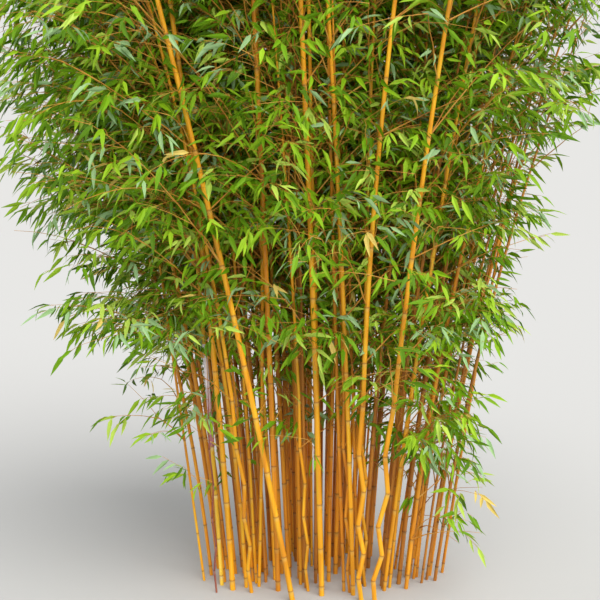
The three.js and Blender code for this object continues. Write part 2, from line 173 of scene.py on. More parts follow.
REAR_SPACING = 0.045


def cane_gap(point, canes):
    """How far a point is from the nearest cane's skin, level with the point."""
    least = math.inf
    for cane in canes:
        if point.z > cane.height + CANE_CLEARANCE:
            continue
        middle = cane.middle(point.z)
        gap = math.hypot(point.x - middle.x, point.y - middle.y)
        least = min(least, gap - LEVEL_TO_SQUARE * cane.radius(point.z))
    return least


def stands_clear(cane, spacing, others):
    """Whether a cane has room at its foot and touches no other on its way up."""
    steps = int(cane.height / CHECK_STEP) + 1
    return cane_gap(cane.middle(0), others) > spacing and all(
        cane_gap(cane.middle(k * CHECK_STEP), others) > cane.radius(k * CHECK_STEP) + CANE_CLEARANCE
        for k in range(steps)
    )


def outward_cane(name, x, y, turn, girths, heights, finishes):
    """A cane that leans and bows away from the clump's middle, of the next size and finish."""
    out = x - CLUMP_MIDDLE[0]
    return Cane(
        name, (x, y), OUTWARD_LEAN * out, OUTWARD_BOW * out,
        girths[turn % len(girths)], heights[turn % len(heights)], finishes[turn % len(finishes)],
    )


rear_canes = []
place = 0
while len(rear_canes) < REAR_CANES:
    spread = math.sqrt((place % REAR_PLACES + 0.5) / REAR_PLACES)
    cane = outward_cane(
        f"rear_cane_{len(rear_canes) + 1}",
        CLUMP_MIDDLE[0] + CLUMP_HALF_WIDTH * spread * math.cos(place * GOLDEN_ANGLE),
        CLUMP_MIDDLE[1] + CLUMP_HALF_DEPTH * spread * abs(math.sin(place * GOLDEN_ANGLE)),
        len(rear_canes), REAR_GIRTHS, REAR_HEIGHTS, REAR_FINISHES,
    )
    if stands_clear(cane, REAR_SPACING, SHOWN_CANES + rear_canes):
        rear_canes.append(cane)
    place += 1
solid_canes = SHOWN_CANES + rear_canes

# The length of cane between two nodes is short at the foot and longest at head height
FIRST_NODE = (0.04, 0.15)
SHORT_LENGTH = 0.13
LENGTH_GAINED = 0.075
GAINED_OVER_NODES = 2
LENGTH_VARIES = (0.86, 1.14)
LAST_NODE_BELOW_TIP = 0.05

# A node in rings: their height from it, their girth, and how much scar and waxy bloom they show.
# The plain ring at a cane's foot and tip shows neither.
NODE_RINGS = [
    (-0.022, 1.0, 0.0, 0.0),
    (-0.01, 1.0, 0.0, 0.5),
    (-0.003, 1.01, 0.1, 0.75),
    (-0.001, 1.08, 0.75, 0.3),
    (0.001, 1.1, 0.75, 0.0),
    (0.003, 1.01, 0.35, 0.0),
    (0.007, 1.05, 0.05, 0.0),
    (0.013, 1.0, 0.0, 0.0),
]
PLAIN_RING = (1.0, 0.0, 0.0)
CANE_SIDES = 10
CANE_SEED = 500
SEED_STEP = 31
FAR_OFF = 100
RANDOM_FACTOR = 48271
RANDOM_LIMIT = 2147483647


def numbers_from(seed):
    """Numbers between 0 and 1 by a fixed rule, the same on every run."""
    state = seed
    while True:
        state = state * RANDOM_FACTOR % RANDOM_LIMIT
        yield state / RANDOM_LIMIT


def between(limits, numbers):
    """The next number, fitted between two limits."""
    return limits[0] + (limits[1] - limits[0]) * next(numbers)


def node_heights(cane, numbers):
    """Where a cane's nodes are, from the lowest to the last below its tip."""
    heights = CROOKED_NODES[1:] if cane.crook else [between(FIRST_NODE, numbers)]
    while True:
        gained = LENGTH_GAINED * (1 - math.exp(-len(heights) / GAINED_OVER_NODES))
        following = heights[-1] + (SHORT_LENGTH + gained) * between(LENGTH_VARIES, numbers)
        if following > cane.height - LAST_NODE_BELOW_TIP:
            return heights
        heights.append(following)


def lines_mesh(name, lines, **numbers_along):
    """A mesh of open lines, with a number at each point for each name."""
    counts = [len(line) for line in lines]
    starts = np.concatenate([[0], np.cumsum(counts)[:-1]]).astype(int)
    edges = [(start + k, start + k + 1) for start, n in zip(starts, counts) for k in range(n - 1)]
    mesh = bpy.data.meshes.new(name)
    mesh.from_pydata([point for line in lines for point in line], edges, [])
    for title, rows in numbers_along.items():
        layer = mesh.attributes.new(title, "FLOAT", "POINT")
        layer.data.foreach_set("value", np.array([value for row in rows for value in row], np.float32))
    return mesh


def new_tree(name, **inputs):
    """A Geometry Nodes tree with a geometry input and output and the named inputs, and its ends."""
    tree = bpy.data.node_groups.new(name, "GeometryNodeTree")
    tree.interface.new_socket("Geometry", in_out="INPUT", socket_type="NodeSocketGeometry")
    for title, kind in inputs.items():
        tree.interface.new_socket(title, in_out="INPUT", socket_type="NodeSocket" + kind)
    tree.interface.new_socket("Geometry", in_out="OUTPUT", socket_type="NodeSocketGeometry")
    return tree, tree.nodes.new("NodeGroupInput").outputs, tree.nodes.new("NodeGroupOutput").inputs


def add_node(tree, kind, links=None, **settings):
    """A node of a tree, with its settings, and each input in use linked or set to a value."""
    node = tree.nodes.new(kind)
    for title, value in settings.items():
        setattr(node, title, value)
    for title, value in (links or {}).items():
        in_use = [s for s in node.inputs if s.enabled]
        socket = in_use[title] if isinstance(title, int) else next(s for s in in_use if s.name == title)
        if isinstance(value, bpy.types.NodeSocket):
            tree.links.new(value, socket)
        else:
            socket.default_value = value
    return node


def result_of(node):
    """A node's first output in use."""
    return next(s for s in node.outputs if s.enabled)


def number_of(tree, operation, *values):
    """What a sum makes of one, two or three numbers."""
    return result_of(add_node(tree, "ShaderNodeMath", dict(enumerate(values)), operation=operation))


def vector_of(tree, operation, *values, **named):
    """What a sum makes of one or two vectors."""
    links = {**dict(enumerate(values)), **named}
    return result_of(add_node(tree, "ShaderNodeVectorMath", links, operation=operation))


def finish_tree(tree, geometry, finish, result):
    """Ends a tree: its instances are made real and given their material."""
    single = add_node(tree, "GeometryNodeRealizeInstances", {"Geometry": geometry})
    finished = add_node(tree, "GeometryNodeSetMaterial", {
        "Geometry": result_of(single), "Material": finish,
    })
    tree.links.new(result_of(finished), result["Geometry"])


def limb_tree():
    """Tubes along lines, as thick as the lines say, cut off flat at the ground."""
    tree, given, result = new_tree("limbs_along_lines", Sides="Int", Capped="Bool", Finish="Material")
    lines = add_node(tree, "GeometryNodeMeshToCurve", {"Mesh": given["Geometry"]})
    thickness = add_node(tree, "GeometryNodeInputNamedAttribute", {"Name": "half_thickness"})
    section = add_node(tree, "GeometryNodeCurvePrimitiveCircle", {
        "Resolution": given["Sides"], "Radius": 1.0,
    })
    tubes = add_node(tree, "GeometryNodeCurveToMesh", {
        "Curve": result_of(lines), "Profile Curve": result_of(section),
        "Scale": result_of(thickness), "Fill Caps": given["Capped"],
    })
    place = result_of(add_node(tree, "GeometryNodeInputPosition"))
    above_ground = vector_of(tree, "MAXIMUM", place, (-FAR_OFF, -FAR_OFF, 0))
    cut = add_node(tree, "GeometryNodeSetPosition", {
        "Geometry": result_of(tubes), "Position": above_ground,
    })
    smooth = add_node(tree, "GeometryNodeSetShadeSmooth", {"Geometry": result_of(cut)})
    finish_tree(tree, result_of(smooth), given["Finish"], result)
    return tree


def grown(name, mesh, tree, **inputs):
    """A plain mesh object: what a tree makes of a mesh with these inputs."""
    piece = bpy.data.objects.new(name, mesh)
    bpy.context.scene.collection.objects.link(piece)
    modifier = piece.modifiers.new("growth", "NODES")
    modifier.node_group = tree
    for socket in tree.interface.items_tree:
        if socket.in_out == "INPUT" and socket.name in inputs:
            modifier[socket.identifier] = inputs[socket.name]
    drawn = piece.evaluated_get(bpy.context.evaluated_depsgraph_get())
    plain = bpy.data.meshes.new_from_object(drawn)
    piece.modifiers.clear()
    piece.data = plain
    plain.name = name
    return piece


def colour(digits):
    """A colour for a shader from its six hexadecimal digits, by the sRGB curve."""
    channels = [channel / 255 for channel in bytes.fromhex(digits)]
    linear = [c / 12.92 if c <= 0.04045 else ((c + 0.055) / 1.055) ** 2.4 for c in channels]
    return (*linear, 1.0)


def grey(lightness):
    """A grey that darkens what it is multiplied with."""
    return (lightness, lightness, lightness, 1.0)


def new_finish(name):
    """A material with its shader, and its tree to add nodes to."""
    material = bpy.data.materials.new(name)
    material.use_nodes = True
    shader = next(n for n in material.node_tree.nodes if n.type == "BSDF_PRINCIPLED")
    return material, material.node_tree, shader


def noise(tree, stretch, detail):
    """A noise pattern on Object coordinates, with so many waves to a metre along each axis."""
    place = add_node(tree, "ShaderNodeTexCoord")
    sized = add_node(tree, "ShaderNodeMapping", {"Vector": place.outputs["Object"], "Scale": stretch})
    return add_node(tree, "ShaderNodeTexNoise", {
        "Vector": sized.outputs["Vector"], "Scale": 1.0, "Detail": detail,
    }).outputs["Fac"]


def ramp(tree, fac, places, tones):
    """A colour ramp over a number, with each tone at its place."""
    node = add_node(tree, "ShaderNodeValToRGB", {"Fac": fac})
    elements = node.color_ramp.elements
    for place in places[1:-1]:
        elements.new(place)
    for element, place, tone in zip(elements, places, tones):
        element.position = place
        element.color = tone
    return node.outputs["Color"]


def blend_in(tree, amount, under, over, how="MIX"):
    """One colour laid over another by an amount, or multiplied with it."""
    links = {"Factor": amount, "A": under, "B": over}
    return result_of(add_node(tree, "ShaderNodeMix", links, data_type="RGBA", blend_type=how))


def roughen(tree, shader, pattern, least, most):
    """Roughness that wanders between two values over a surface."""
    worn = add_node(tree, "ShaderNodeMapRange", {
        "Value": noise(tree, **pattern), "To Min": least, "To Max": most,
    })
    tree.links.new(worn.outputs["Result"], shader.inputs["Roughness"])


def emboss(tree, shader, height, strength, depth):
    """Fine relief, from a pattern that says how high the surface stands."""
    bump = add_node(tree, "ShaderNodeBump", {"Height": height, "Strength": strength, "Distance": depth})
    tree.links.new(bump.outputs["Normal"], shader.inputs["Normal"])


# The skin's streaks, wear and fibres run along the cane, and broad darker patches lie over them
STREAKS = {"stretch": (60, 60, 2.2), "detail": 4}
STREAK_STOPS = (0.3, 0.5, 0.72)
PATCHES = {"stretch": (2.5, 2.5, 1.6), "detail": 2}
PATCH_STOPS = (0.35, 0.6)
PATCH_SHADE = 0.72
CANE_WEAR = {"stretch": (90, 90, 14), "detail": 3}
SMOOTHER_BY, ROUGHER_BY = 0.1, 0.16
FIBRES = {"stretch": (420, 420, 9), "detail": 3}
FIBRE_STRENGTH, FIBRE_DEPTH = 0.25, 0.0006


def cane_finish(name, deep, main, lit, scar, bloom, rough):
    """Cane skin: streaked along its length, with a dark scar and a waxy bloom at each node."""
    material, tree, shader = new_finish(name)
    skin = ramp(tree, noise(tree, **STREAKS), STREAK_STOPS, [colour(deep), colour(main), colour(lit)])
    shade = ramp(tree, noise(tree, **PATCHES), PATCH_STOPS, [grey(PATCH_SHADE), grey(1.0)])
    toned = blend_in(tree, 1.0, skin, shade, "MULTIPLY")
    waxy = add_node(tree, "ShaderNodeAttribute", attribute_name="bloom").outputs["Fac"]
    waxed = blend_in(tree, waxy, toned, colour(bloom))
    scarred = add_node(tree, "ShaderNodeAttribute", attribute_name="scar").outputs["Fac"]
    tree.links.new(blend_in(tree, scarred, waxed, colour(scar)), shader.inputs["Base Color"])
    roughen(tree, shader, CANE_WEAR, rough - SMOOTHER_BY, rough + ROUGHER_BY)
    emboss(tree, shader, noise(tree, **FIBRES), FIBRE_STRENGTH, FIBRE_DEPTH)
    return material


# Each finish: its skin's deep, main and lit tones, its scars, its bloom, and how rough it is
CANE_FINISHES = {
    "golden": cane_finish("golden_cane", "E69408", "F9AE0E", "FFC828", "9C6224", "DEB458", 0.4),
    # The amber finish is a darker golden, given mostly to canes that stand further back or inside the
    # clump: partly older skin, partly painted shade.
    "amber": cane_finish("amber_cane", "D07E0E", "EC9A14", "F8B024", "84501C", "CC9C48", 0.44),
    "brown": cane_finish("brown_cane", "A8641A", "C88024", "DC9632", "5E3714", "AC8448", 0.5),
    "young": cane_finish("young_cane", "F8BC20", "FFCC32", "FFDE5C", "A07030", "F0DCA0", 0.36),
    "red": cane_finish("red_cane", "7E3A34", "9C5444", "B06C50", "4A2420", "A07C70", 0.5),
}
LIMBS = limb_tree()


def cane_skin(name, canes, seed, sides, finish):
    """The skins of one or more canes as one piece. Returns it with each cane's node heights."""
    node_lists, lines, rings_of_all = [], [], []
    for number, cane in enumerate(canes):
        heights = node_heights(cane, numbers_from(seed + SEED_STEP * number))
        node_lists.append(heights)
        rings = [(0.0, *PLAIN_RING)]
        for height in heights:
            rings += [(height + offset, *marks) for offset, *marks in NODE_RINGS]
        rings = [ring for ring in rings if ring[0] >= 0] + [(cane.height, *PLAIN_RING)]
        lines.append([cane.middle(z) for z, *_ in rings])
        rings_of_all.append([(cane.radius(z) * girth, scar, bloom) for z, girth, scar, bloom in rings])
    layers = {
        title: [[marks[i] for marks in rings] for rings in rings_of_all]
        for i, title in enumerate(("half_thickness", "scar", "bloom"))
    }
    piece = grown(
        name, lines_mesh(name, lines, **layers), LIMBS, Sides=sides, Capped=True, Finish=finish,
    )
    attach(piece, "root")
    return piece, node_lists


branching_canes = []
for number, cane in enumerate(solid_canes):
    seed = CANE_SEED + SEED_STEP * number
    piece, (heights,) = cane_skin(
        cane.name + "_skin", [cane], seed, CANE_SIDES, CANE_FINISHES[cane.finish],
    )
    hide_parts(cane.name)
    branching_canes.append((cane, heights))

# Old canes: thin, weathered ones that fill the clump between and behind the others. They rise
# from the same ground. A few stand where the photograph shows them, and the rest are set out from
# left to right, each at the first depth where it stands clear of the others, if one is found.
SLIM_CANES = [
    Cane("slim_crooked_cane", (0.117, 0.03), -0.035, 0, 0.013, 3.0, "amber", 0.008),
    Cane("slim_middle_cane", (0.158, 0.13), -0.032, 0, 0.012, 2.9, "amber"),
    Cane("slim_left_cane", (-0.135, 0.31), -0.028, 0, 0.019, 3.6, "amber"),
    Cane("slim_right_cane", (0.271, 0.15), 0.07, 0, 0.013, 3.0),
    Cane("slim_outer_cane", (0.332, 0.29), 0.15, 0, 0.013, 2.6, "amber"),
    Cane("slim_red_whip", (-0.435, 0.03), -0.03, 0, 0.008, 0.9, "red", 0.006),
]
OLD_PLACES = 84
OLD_FROM, OLD_TO = -0.47, 0.5
OLD_DEPTHS = (0.06, 0.6)
OLD_TRIALS = 36
OLD_GIRTHS = [0.013, 0.017, 0.011, 0.015, 0.019]
OLD_HEIGHTS = [2.6, 3.2, 2.1, 2.9, 3.4, 2.4]
OLD_FINISHES = ["brown", "amber", "golden", "brown", "amber", "amber", "brown"]
OLD_SPACING = 0.004
OLD_SIDES = 8
OLD_SEED = 7100
OLD_SEED_STEP = 500

# The crown keeps one width up to the height of its foot, swells from there to its widest, and
# closes in a dome, all within the solids' box
CROWN_MIDDLE = [(low + high) / 2 for low, high in zip(*cad_box)]
CROWN_HALF_WIDTH = cad_box[1][0] - CROWN_MIDDLE[0]
CROWN_HALF_DEPTH = cad_box[1][1] - CROWN_MIDDLE[1]
CROWN_FOOT = 0.85
CROWN_WIDEST = 3.0
CROWN_TOP = cad_box[1][2]
CROWN_FOOT_SHARE = 0.68
CROWN_FOOT_SHIFT = -0.15
CROWN_TOP_SHARE = 0.14
CANE_TIP_ROOM = 0.05


def crown_swell(z):
    """How far the crown has swelled at a height, from 0 at its foot to 1 at its widest."""
    rise = (z - CROWN_FOOT) / (CROWN_WIDEST - CROWN_FOOT)
    return math.sin(min(1.0, max(0.0, rise)) * math.pi / 2)


def crown_share(z):
    """The crown's reach at a height, as a share of its half width and half depth."""
    if z < CROWN_WIDEST:
        return CROWN_FOOT_SHARE + (1 - CROWN_FOOT_SHARE) * crown_swell(z)
    share = min(1.0, (z - CROWN_WIDEST) / (CROWN_TOP - CROWN_WIDEST))
    return CROWN_TOP_SHARE + (1 - CROWN_TOP_SHARE) * math.sqrt(1 - share * share)


def inside_crown(point, room):
    """Whether a place is in the crown, which stands further to the left at its foot."""
    middle = CROWN_MIDDLE[0] + CROWN_FOOT_SHIFT * (1 - crown_swell(point.z))
    across = (point.x - middle) / (CROWN_HALF_WIDTH - room)
    along = (point.y - CROWN_MIDDLE[1]) / (CROWN_HALF_DEPTH - room)
    return point.z < CROWN_TOP - room and math.hypot(across, along) < crown_share(point.z)


numbers = numbers_from(OLD_SEED)
old_canes = list(SLIM_CANES)
for turn in range(OLD_PLACES):
    x = OLD_FROM + (OLD_TO - OLD_FROM) * (turn + next(numbers)) / OLD_PLACES
    for _ in range(OLD_TRIALS):
        depth = between(OLD_DEPTHS, numbers)
        cane = outward_cane(f"old_cane_{turn + 1}", x, depth, turn, OLD_GIRTHS, OLD_HEIGHTS, OLD_FINISHES)
        within = inside_crown(cane.middle(cane.height), CANE_TIP_ROOM)
        if within and stands_clear(cane, OLD_SPACING, solid_canes + old_canes):
            old_canes.append(cane)
            break
for number, finish in enumerate(sorted({cane.finish for cane in old_canes})):
    group = [cane for cane in old_canes if cane.finish == finish]
    piece, node_lists = cane_skin(
        f"old_{finish}_canes", group, OLD_SEED + OLD_SEED_STEP * number, OLD_SIDES,
        CANE_FINISHES[finish],
    )
    branching_canes += zip(group, node_lists)

# Sheath: the papery wrapper that still clasps the young cane above its bright foot. It is a thin
# sleeve, mauve where it is fresh and fading to pale lilac at its upper end.
SHEATH_FROM, SHEATH_TO = 0.6, 1.03
SHEATH_THICKNESS = 0.0015
SHEATH_RINGS = 12
SHEATH_FRESH, SHEATH_FADED = "C47E8E", "EFE6EC"
SHEATH_FADES = (0.25, 0.6)
SHEATH_VEINS = {"stretch": (260, 260, 4), "detail": 3}
SHEATH_VEIN_STOPS = (0.3, 0.65)
SHEATH_VEIN_SHADE = 0.8
SHEATH_ROUGHNESS = 0.7

young_cane = next(cane for cane in SHOWN_CANES if cane.name == "left_young_cane")
ring_heights = np.linspace(SHEATH_FROM, SHEATH_TO, SHEATH_RINGS)
sheath_paper, tree, shader = new_finish("sheath_paper")
place = add_node(tree, "ShaderNodeTexCoord")
height = add_node(tree, "ShaderNodeSeparateXYZ", {"Vector": place.outputs["Object"]})
along = add_node(tree, "ShaderNodeMapRange", {
    "Value": height.outputs["Z"], "From Min": SHEATH_FROM, "From Max": SHEATH_TO,
})
tones = [colour(SHEATH_FRESH), colour(SHEATH_FADED)]
paper = ramp(tree, along.outputs["Result"], SHEATH_FADES, tones)
shades = [grey(SHEATH_VEIN_SHADE), grey(1.0)]
veined = ramp(tree, noise(tree, **SHEATH_VEINS), SHEATH_VEIN_STOPS, shades)
tree.links.new(blend_in(tree, 1.0, paper, veined, "MULTIPLY"), shader.inputs["Base Color"])
shader.inputs["Roughness"].default_value = SHEATH_ROUGHNESS
sheath = grown(
    "young_cane_sheath",
    lines_mesh(
        "young_cane_sheath", [[young_cane.middle(z) for z in ring_heights]],
        half_thickness=[[young_cane.radius(z) + SHEATH_THICKNESS for z in ring_heights]],
    ),
    LIMBS, Sides=CANE_SIDES, Capped=True, Finish=sheath_paper,
)
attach(sheath, "root")

# Branches, twigs and sprigs: thin orange-brown wood. Two unequal branches leave a cane at a node,
# to one side and the other in turn, each bears twigs in the same way, and each twig bears sprigs
# of leaves along it and at its end. They keep within the reach of the solid masses.
LEAF_ROOM = 0.07
LOWEST_LEAF = 0.25
EDGE_RAGGED_BY = 0.3
UP = Vector((0, 0, 1))

FIRST_BRANCH, ALL_BRANCH_FROM = 0.4, 1.35
SHORT_BRANCHES_TO = 1.7
LOWEST_LENGTH_SHARE = 0.3
RIGHT_SIDE = (0.2, 0.4)
LOWER_ON_RIGHT = 0.6
BRANCH_LENGTH = (0.55, 1.05)
BRANCH_STEP = 0.075
LEAST_STEPS = 2
BRANCH_SIDES = 4
BRANCH_RADIUS = 0.0032
BRANCH_TIP_RADIUS = 0.0011
BRANCH_RISE = (0.5, 1.4)
BRANCH_SAG = (-0.3, 0.35)
BRANCH_SAG_POWER = 1.6
BRANCH_WAVER = 0.08
SHORT_BRANCH = 0.62
PAIR_SPREAD = (0.25, 0.75)
OUTWARD_PULL = 0.75
TIP_ZONE = 1.0
LEAST_NEAR_TIP = 0.4
LEAFY_TIP = 0.6
TIP_TWIGS = 15
LEAST_POINTS = 3

TWIG_START = 2
TWIG_LENGTH = (0.12, 0.3)
TWIG_SHORTENS = 0.4
TWIG_SIDES = 3
TWIG_RADIUS = 0.0014
TWIG_TIP_RADIUS = 0.0008
TWIG_FORWARD = (0.4, 1.0)
TWIG_LIFT = (-0.3, 0.7)
TWIG_SAG = 0.25
TWIG_POINTS = 2

SPRIG_LEAVES = (1.4, 4.6)
LEAST_LEAVES = 2
SPRIG_STEP = (0.02, 0.045)
SPRIG_SAG = 0.1
SPRIG_RADIUS = 0.0007
SIDE_SPRIGS = [(0.05, 0.35), (0.35, 0.65), (0.65, 0.95)]
SIDE_SPRIG_SHARE = 0.62
SIDE_SPRIG_FORWARD = 0.8
SIDE_SPRIG_LIFT = (-0.4, 0.6)
SIDE_SPRIG_STALK = (0.01, 0.05)
BRANCH_SEED = 9000
BRANCH_SEED_STEP = 53

# Where the crown is open: in front of the canes, though less so low on the right, and past its
# right edge
FRONT_LAYER = (-0.3, 0.12)
OPEN_WIDTH = (0.5, 1.0)
OPEN_TO_RIGHT = 0.08
OPEN_HEIGHT = (2.6, 3.2)
OPENED = 0.82
LOW_RIGHT = (0.2, 0.42)
LOW_RIGHT_TO = (0.8, 1.3)
CLOSED_LOW_RIGHT = 0.75
RIGHT_EDGE = 0.6
RIGHT_EDGE_FROM = 2.2
RIGHT_EDGE_SLOPE = 0.8
RIGHT_EDGE_FADE = 0.2
CUT_BACK = (0.88, 0.76)
CUT_BACK_EASES = (1.65, 2.05)


def ease(low, high, value):
    """How far a value has come from low to high, from 0 to 1, starting and ending gently."""
    share = min(1.0, max(0.0, (value - low) / (high - low)))
    return share * share * (3 - 2 * share)


def leafiness(point):
    """The share of twigs that bear leaves at a place. The canes show through in front, where the
    crown is thin up to well over head height, but for its low sprays on the right. Past its right
    edge, which slants outward above head height, it is cut back."""
    in_front = 1 - ease(*FRONT_LAYER, point.y)
    in_middle = 1 - ease(*OPEN_WIDTH, abs(point.x - CLUMP_MIDDLE[0] - OPEN_TO_RIGHT))
    not_high = 1 - ease(*OPEN_HEIGHT, point.z)
    low_right = ease(*LOW_RIGHT, point.x) * (1 - ease(*LOW_RIGHT_TO, point.z))
    opened = OPENED * in_front * in_middle * not_high * (1 - CLOSED_LOW_RIGHT * low_right)
    edge = RIGHT_EDGE + RIGHT_EDGE_SLOPE * max(0.0, point.z - RIGHT_EDGE_FROM)
    past_edge = ease(0, RIGHT_EDGE_FADE, point.x - edge)
    cut_back = CUT_BACK[0] + (CUT_BACK[1] - CUT_BACK[0]) * ease(*CUT_BACK_EASES, point.z)
    return (1 - opened) * (1 - cut_back * past_edge)


def branch_line(start, heading, rise, sag, length, room):
    """The points of a branch, from its cane to where it ends or comes near the crown's edge."""
    points = [start]
    across = heading.cross(UP).normalized()
    steps = max(LEAST_STEPS, round(length / BRANCH_STEP))
    for k in range(steps):
        bent = ((k + 0.5) / steps) ** BRANCH_SAG_POWER
        aim = heading + UP * (rise - (rise + sag) * bent) + across * BRANCH_WAVER * (-1) ** k
        following = points[-1] + aim.normalized() * BRANCH_STEP
        if not inside_crown(following, room):
            break
        points.append(following)
    return points


def sprig_line(start, aim, numbers):
    """The places of a sprig's leaves, one after another."""
    step = between(SPRIG_STEP, numbers)
    points = [start]
    for _ in range(int(between(SPRIG_LEAVES, numbers)) - 1):
        aim = (aim - UP * SPRIG_SAG).normalized()
        points.append(points[-1] + aim * step)
    return points


def in_crown(point):
    """Whether a leaf that grows at a place stays in the crown and well clear of the ground."""
    return point.z > LOWEST_LEAF and inside_crown(point, LEAF_ROOM)


def in_reach(point):
    """Whether a leaf that grows at a place stays within the plant's height and spread."""
    lowest, highest = cad_box
    return all(lowest[i] + LEAF_ROOM < point[i] < highest[i] - LEAF_ROOM for i in range(3))


def either_hand(numbers):
    """One side or the other, by the next number."""
    return -1 if next(numbers) < 0.5 else 1


def bear_twigs(line, numbers, has_room):
    """Twigs to either hand of a branch in turn and one on from its tip, each with its sprigs.
    Returns the branch as far as its last twig."""
    last = 0
    for k in range(TWIG_START, len(line)):
        along = (line[k] - line[k - 1]).normalized()
        aim = along
        if k < len(line) - 1:
            across = along.cross(UP).normalized() * (-1) ** k
            lift = UP * between(TWIG_LIFT, numbers)
            aim = (along * between(TWIG_FORWARD, numbers) + across + lift).normalized()
        step = between(TWIG_LENGTH, numbers) * (1 - TWIG_SHORTENS * k / len(line)) / TWIG_POINTS
        twig = [line[k]]
        for _ in range(TWIG_POINTS):
            aim = (aim - UP * TWIG_SAG / TWIG_POINTS).normalized()
            twig.append(twig[-1] + aim * step)
        if not has_room(twig[-1]) or next(numbers) > leafiness(twig[-1]):
            continue
        last = k
        twigs.append(twig)
        bear_sprig(twig[-1], aim, numbers, has_room)
        for place in SIDE_SPRIGS:
            root = twig[0].lerp(twig[-1], between(place, numbers))
            side = aim.cross(UP).normalized() * either_hand(numbers)
            lift = UP * between(SIDE_SPRIG_LIFT, numbers)
            hand = (side + aim * SIDE_SPRIG_FORWARD + lift).normalized()
            if next(numbers) < SIDE_SPRIG_SHARE:
                stalk = hand * between(SIDE_SPRIG_STALK, numbers)
                bear_sprig(root + stalk, hand, numbers, has_room)
    return line[:last + 1]


def bear_sprig(root, aim, numbers, has_room):
    """A sprig, kept where it has leaves enough and room for them, with the lot that draws its
    tint."""
    line = sprig_line(root, aim, numbers)
    if has_room(line[-1]):
        lot = next(numbers)
        if len(line) >= LEAST_LEAVES:
            sprigs.append((line, lot))


branches, twigs, sprigs = [], [], []
for number, (cane, heights) in enumerate(branching_canes):
    numbers = numbers_from(BRANCH_SEED + BRANCH_SEED_STEP * number)
    plane = TURN * next(numbers)
    for i, z in enumerate(heights):
        start = cane.middle(z)
        lowered = z + LOWER_ON_RIGHT * ease(*RIGHT_SIDE, start.x)
        if next(numbers) > ease(FIRST_BRANCH, ALL_BRANCH_FROM, lowered):
            continue
        outward = Vector((start.x - CLUMP_MIDDLE[0], start.y - CLUMP_MIDDLE[1], 0))
        pull = outward / max(outward.length, CLUMP_HALF_WIDTH) * OUTWARD_PULL
        near_tip = min(1.0, (cane.height - z) / TIP_ZONE + LEAST_NEAR_TIP)
        grown_by = ease(FIRST_BRANCH, SHORT_BRANCHES_TO, z)
        near_foot = LOWEST_LENGTH_SHARE + (1 - LOWEST_LENGTH_SHARE) * grown_by
        for pair, share in ((-1, 1.0), (1, SHORT_BRANCH)):
            turned = plane + math.pi * i + pair * between(PAIR_SPREAD, numbers)
            heading = (Vector((math.cos(turned), math.sin(turned), 0)) + pull).normalized()
            length = between(BRANCH_LENGTH, numbers) * share * near_tip * near_foot
            line = branch_line(
                start, heading, between(BRANCH_RISE, numbers), between(BRANCH_SAG, numbers), length,
                LEAF_ROOM + EDGE_RAGGED_BY * next(numbers) ** 2,
            )
            leafy = bear_twigs(line, numbers, in_crown)
            if len(leafy) >= LEAST_POINTS:
                branches.append(leafy)
    tip_heights = np.linspace(cane.height - LEAFY_TIP, cane.height, TIP_TWIGS)
    bear_twigs([cane.middle(z) for z in tip_heights], numbers, in_reach)


BARK_PATCHES = {"stretch": (9, 9, 9), "detail": 3}
BARK_STOPS = (0.3, 0.5, 0.7)
BARK_TONES = ("A86A22", "D09030", "E2B052")
BARK_WEAR = {"stretch": (60, 60, 60), "detail": 2}
BARK_ROUGHNESS = (0.45, 0.65)


def wood_finish():
    """Branch bark: orange-brown, smooth, paler in patches."""
    material, tree, shader = new_finish("branch_wood")
    tones = [colour(tone) for tone in BARK_TONES]
    bark = ramp(tree, noise(tree, **BARK_PATCHES), BARK_STOPS, tones)
    tree.links.new(bark, shader.inputs["Base Color"])
    roughen(tree, shader, BARK_WEAR, *BARK_ROUGHNESS)
    return material


def tapered(lines, root, tip):
    """The radius at each point of each line."""
    return [np.linspace(root, tip, len(line)) for line in lines]


foliage_nodes = [name for name in frame["nodes"] if name.startswith("foliage_")]
wood = wood_finish()
sprig_stalks = [[line[0], line[-1]] for line, _ in sprigs]
for name, lines, sides, root, tip in (
    ("branches", branches, BRANCH_SIDES, BRANCH_RADIUS, BRANCH_TIP_RADIUS),
    ("twigs", twigs, TWIG_SIDES, TWIG_RADIUS, TWIG_TIP_RADIUS),
    ("sprig_stalks", sprig_stalks, TWIG_SIDES, SPRIG_RADIUS, SPRIG_RADIUS),
):
    piece = grown(
        name, lines_mesh(name, lines, half_thickness=tapered(lines, root, tip)), LIMBS,
        Sides=sides, Capped=False, Finish=wood,
    )
    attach(piece, "root")
    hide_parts(*foliage_nodes)

# Leaves: narrow, pointed, thin and slightly folded along the rib. They stand to either hand along
# a sprig in turn, with one at its end, and hang from their own weight. Sprays differ in tint, and
# some have a pale blue-green tint that is a painted sheen.
LEAF_LENGTH = 0.084
LEAF_WIDTH = 0.0165

# How wide a blade is at shares of its length, and each shape's fold, arch and twist
LEAF_STATIONS = [(0.0, 0.0), (0.28, 1.0), (0.62, 0.74), (1.0, 0.0)]
LEAF_SHAPES = {
    "leaf_flat": (0.25, 0.02, 0.0),
    "leaf_arched": (0.45, 0.16, 0.3),
    "leaf_curled": (0.35, 0.3, -0.5),
}
LEAF_VEINS = 9
VEIN_STRENGTH, VEIN_DEPTH = 0.3, 0.0004
LEAF_WEAR = {"stretch": (12, 12, 12), "detail": 2}
LEAF_ROUGHNESS = (0.38, 0.6)
LEAF_GLOSS = 0.2
END_OF_SPRIG = 0.999
LEAF_SPREAD = (0.25, 0.9)
LEAF_DROOP = (0.0, 1.3)
LEAF_ROLL = 1.3
LEAF_SIZE = (0.7, 1.2)

